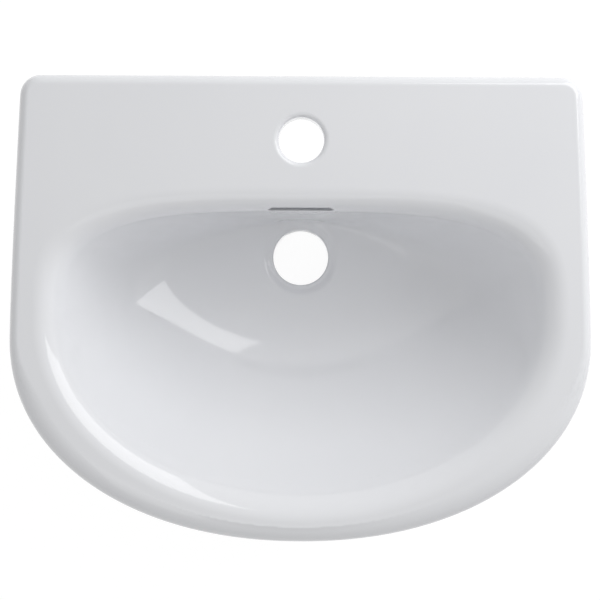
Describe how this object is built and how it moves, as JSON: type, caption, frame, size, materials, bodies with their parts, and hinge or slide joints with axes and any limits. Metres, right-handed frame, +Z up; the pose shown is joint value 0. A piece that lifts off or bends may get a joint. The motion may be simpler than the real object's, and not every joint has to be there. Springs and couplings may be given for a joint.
{
  "type": "semi-countertop basin",
  "caption": "White vitreous-china semi-countertop basin, D-shaped, 450 x 360 mm, one tap hole, overflow, with its rim seal and four worktop clamps.",
  "frame": {"origin": "on the tap hole's axis, in the plane of the worktop that the rim's seal rests on", "axes": "+Z up along the tap hole, +X across the basin to the user's right, +Y towards the wall"},
  "size_m": [0.45, 0.36, 0.155],
  "materials": {
    "glaze": "gloss white vitreous glaze",
    "foam": "closed-cell foam strip",
    "nylon": "natural nylon",
    "zinc_steel": "bright zinc plated",
    "rubber": "matte black"
  },
  "bodies": {
    "basin": {"basin_body": "glaze", "rim_seal": "foam", "fixing_plug_left": "nylon", "fixing_plug_rear_left": "nylon", "fixing_plug_rear_right": "nylon", "fixing_plug_right": "nylon", "stud_left": "zinc_steel", "stud_rear_left": "zinc_steel", "stud_rear_right": "zinc_steel", "stud_right": "zinc_steel"},
    "carriage_left": {"washer_left": "zinc_steel"},
    "arm_left": {"clamp_arm_left": "zinc_steel", "clamp_pad_left": "rubber"},
    "nut_left": {"wing_nut_left": "zinc_steel"},
    "carriage_rear_left": {"washer_rear_left": "zinc_steel"},
    "arm_rear_left": {"clamp_arm_rear_left": "zinc_steel", "clamp_pad_rear_left": "rubber"},
    "nut_rear_left": {"wing_nut_rear_left": "zinc_steel"},
    "carriage_rear_right": {"washer_rear_right": "zinc_steel"},
    "arm_rear_right": {"clamp_arm_rear_right": "zinc_steel", "clamp_pad_rear_right": "rubber"},
    "nut_rear_right": {"wing_nut_rear_right": "zinc_steel"},
    "carriage_right": {"washer_right": "zinc_steel"},
    "arm_right": {"clamp_arm_right": "zinc_steel", "clamp_pad_right": "rubber"},
    "nut_right": {"wing_nut_right": "zinc_steel"}
  },
  "joints": [
    {"name": "clamp_left_spin", "type": "hinge", "parent": "carriage_left", "child": "nut_left", "pos_m": [-0.17205, -0.015, -0.0441], "axis": [0, 0, 1], "range_deg": [-4320, 3600]},
    {"name": "clamp_left_lift", "type": "slide", "parent": "basin", "child": "carriage_left", "axis": [0, 0, 1], "range_m": [-0.012, 0.01]},
    {"name": "clamp_left_swivel", "type": "hinge", "parent": "carriage_left", "child": "arm_left", "pos_m": [-0.17205, -0.015, -0.0441], "axis": [0, 0, 1], "range_deg": [-90, 0]},
    {"name": "clamp_rear_left_spin", "type": "hinge", "parent": "carriage_rear_left", "child": "nut_rear_left", "pos_m": [-0.095, 0.002, -0.0441], "axis": [0, 0, 1], "range_deg": [-4320, 3600]},
    {"name": "clamp_rear_left_lift", "type": "slide", "parent": "basin", "child": "carriage_rear_left", "axis": [0, 0, 1], "range_m": [-0.012, 0.01]},
    {"name": "clamp_rear_left_swivel", "type": "hinge", "parent": "carriage_rear_left", "child": "arm_rear_left", "pos_m": [-0.095, 0.002, -0.0441], "axis": [0, 0, 1], "range_deg": [-90, 0]},
    {"name": "clamp_rear_right_spin", "type": "hinge", "parent": "carriage_rear_right", "child": "nut_rear_right", "pos_m": [0.095, 0.002, -0.0441], "axis": [0, 0, 1], "range_deg": [-4320, 3600]},
    {"name": "clamp_rear_right_lift", "type": "slide", "parent": "basin", "child": "carriage_rear_right", "axis": [0, 0, 1], "range_m": [-0.012, 0.01]},
    {"name": "clamp_rear_right_swivel", "type": "hinge", "parent": "carriage_rear_right", "child": "arm_rear_right", "pos_m": [0.095, 0.002, -0.0441], "axis": [0, 0, 1], "range_deg": [0, 90]},
    {"name": "clamp_right_spin", "type": "hinge", "parent": "carriage_right", "child": "nut_right", "pos_m": [0.17205, -0.015, -0.0441], "axis": [0, 0, 1], "range_deg": [-4320, 3600]},
    {"name": "clamp_right_lift", "type": "slide", "parent": "basin", "child": "carriage_right", "axis": [0, 0, 1], "range_m": [-0.012, 0.01]},
    {"name": "clamp_right_swivel", "type": "hinge", "parent": "carriage_right", "child": "arm_right", "pos_m": [0.17205, -0.015, -0.0441], "axis": [0, 0, 1], "range_deg": [0, 90]}
  ],
  "couplings": [
    {"joint": "clamp_left_spin", "follows": "clamp_left_lift", "rad_per_m": 6283.2},
    {"joint": "clamp_rear_left_spin", "follows": "clamp_rear_left_lift", "rad_per_m": 6283.2},
    {"joint": "clamp_rear_right_spin", "follows": "clamp_rear_right_lift", "rad_per_m": 6283.2},
    {"joint": "clamp_right_spin", "follows": "clamp_right_lift", "rad_per_m": 6283.2}
  ]
}
